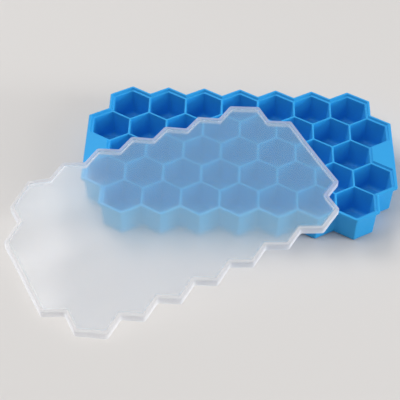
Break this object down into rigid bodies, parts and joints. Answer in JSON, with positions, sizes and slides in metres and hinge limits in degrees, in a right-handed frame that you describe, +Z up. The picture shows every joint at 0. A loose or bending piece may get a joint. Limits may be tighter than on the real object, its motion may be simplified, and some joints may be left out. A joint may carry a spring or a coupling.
{
  "type": "silicone ice cube tray with lid",
  "caption": "Flexible ice cube tray with a honeycomb of hexagonal cells under a raised rim, and its thin translucent lid lying askew across it and drooping to the table.",
  "frame": {"origin": "centre of the tray's underside, on the table", "axes": "+X along the tray's rows of cells, towards its right-hand short end; +Y towards its far long side, away from the viewer; +Z up out of the cells"},
  "size_m": [0.2414, 0.1954, 0.0283],
  "materials": {
    "tray_silicone": "satin moulded silicone, bright blue",
    "lid_silicone": "satin moulded silicone, milky and translucent"
  },
  "bodies": {
    "root": {"tray": "tray_silicone", "lid": "lid_silicone"}
  },
  "joints": []
}
